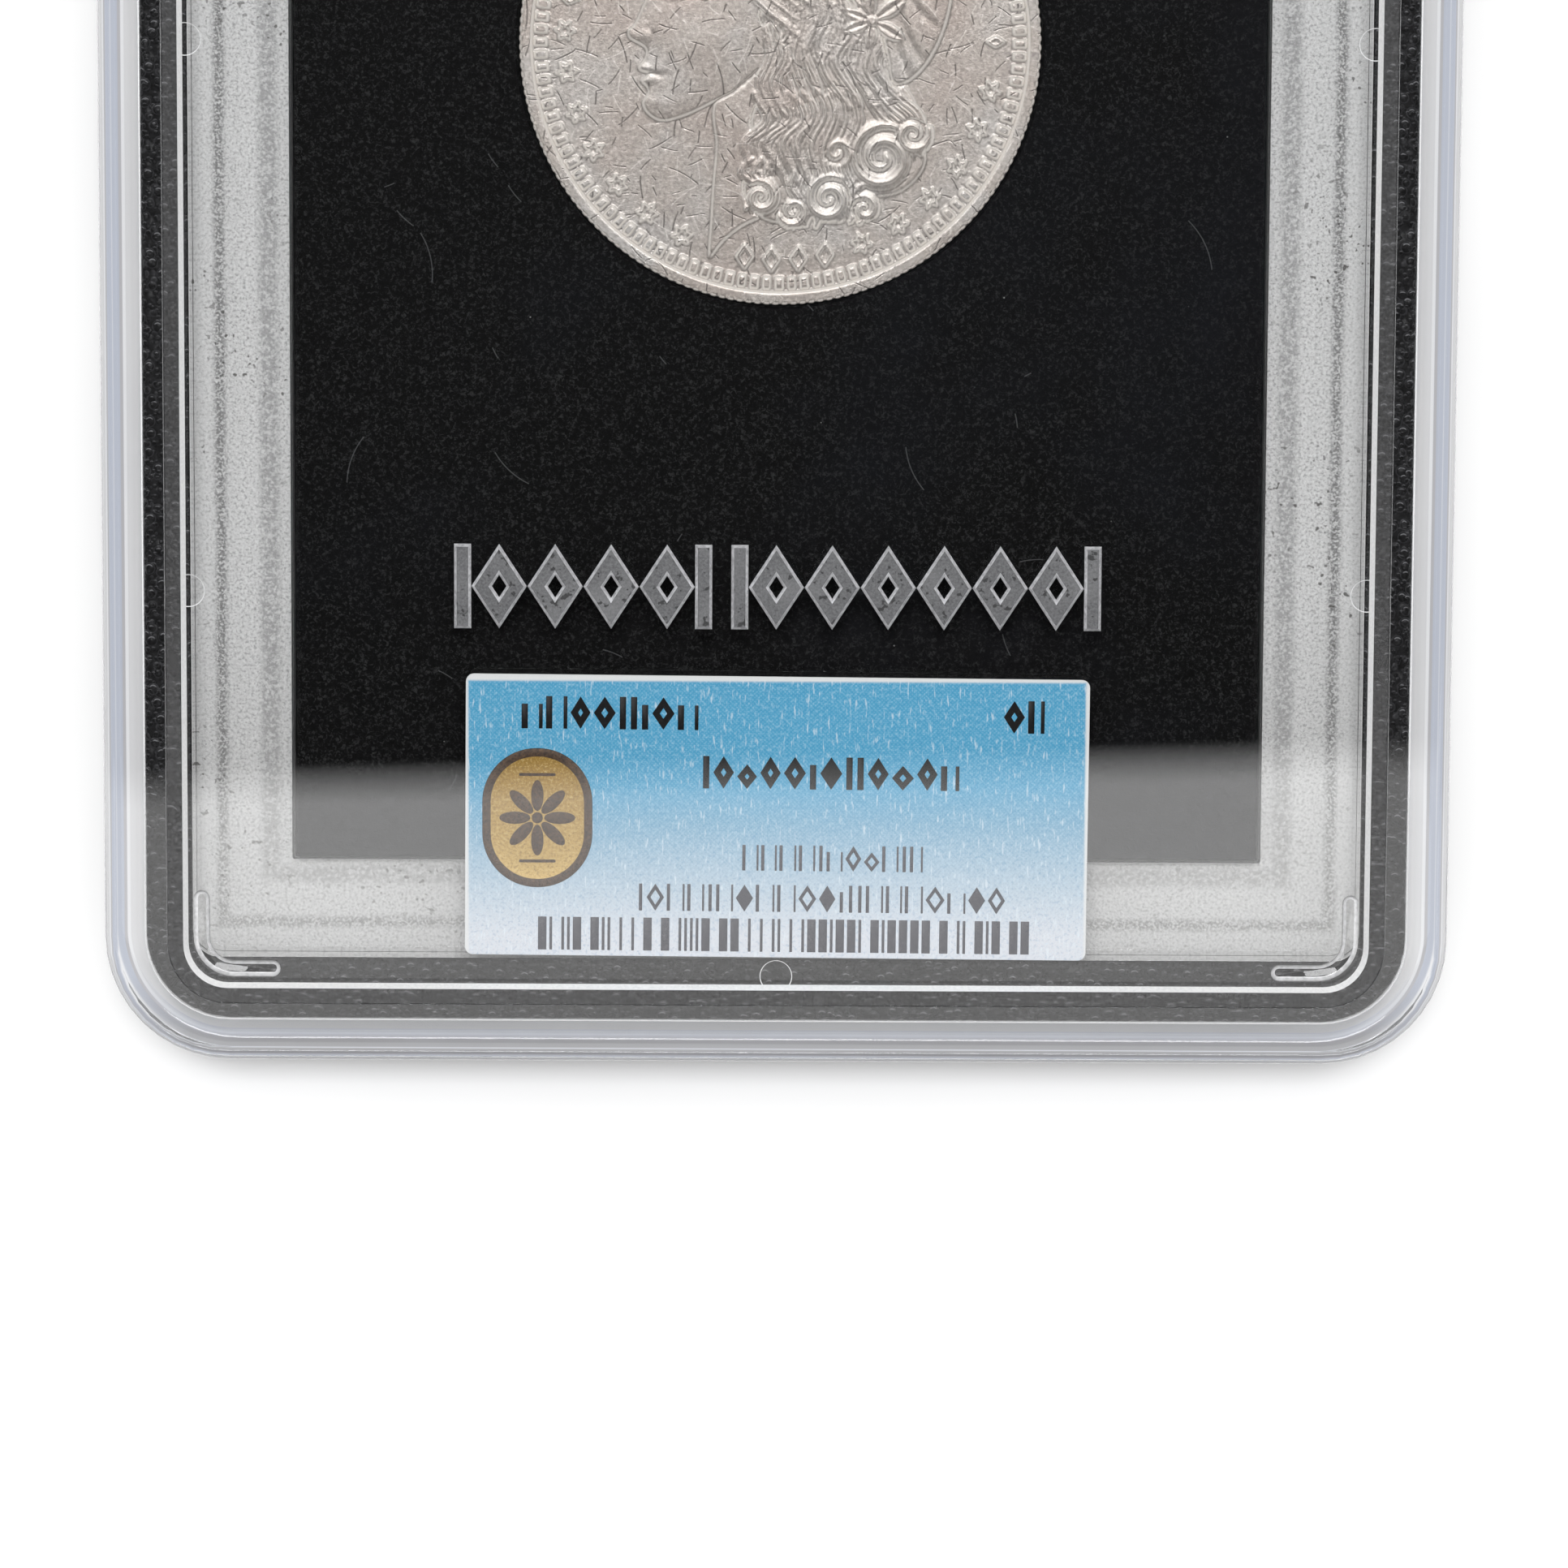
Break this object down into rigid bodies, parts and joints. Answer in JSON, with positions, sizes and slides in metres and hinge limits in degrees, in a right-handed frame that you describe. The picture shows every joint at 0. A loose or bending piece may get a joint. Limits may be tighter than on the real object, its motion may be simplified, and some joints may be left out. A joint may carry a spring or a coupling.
{
  "type": "graded coin slab",
  "caption": "Welded clear slab with stacking ridges, holding a clear display case, black insert board, silver coin and grading label in a foam gasket.",
  "frame": {"origin": "centre of the slab's outline, on the plane of its back stacking ridge, which it lies on", "axes": "+X to the right and +Y to the top of the slab as its front is read, +Z out of the front face"},
  "size_m": [0.0988, 0.1492, 0.016],
  "materials": {
    "clear_plastic": "polished",
    "case_plastic": "polished",
    "weld_plastic": "matte",
    "foam": "matte",
    "black_board": "satin",
    "silver": "satin",
    "ornament": "satin",
    "label_paper": "satin",
    "gold_foil": "satin",
    "sticker_foil": "satin"
  },
  "bodies": {
    "slab": {"slab_front_shell": "clear_plastic", "slab_back_shell": "clear_plastic", "slab_weld_seam": "weld_plastic", "foam_gasket": "foam", "case_front_cover": "case_plastic", "case_back_cover": "case_plastic", "case_weld_flange": "weld_plastic", "insert_board": "black_board", "upper_ornament": "ornament", "lower_ornament": "ornament", "grade_label": "label_paper", "label_seal": "gold_foil", "rear_sticker": "sticker_foil"},
    "coin": {"coin": "silver"}
  },
  "joints": [
    {"name": "coin_spin", "type": "hinge", "parent": "slab", "child": "coin", "pos_m": [0, 0, 0.008], "axis": [0, 0, 1], "continuous": true}
  ]
}
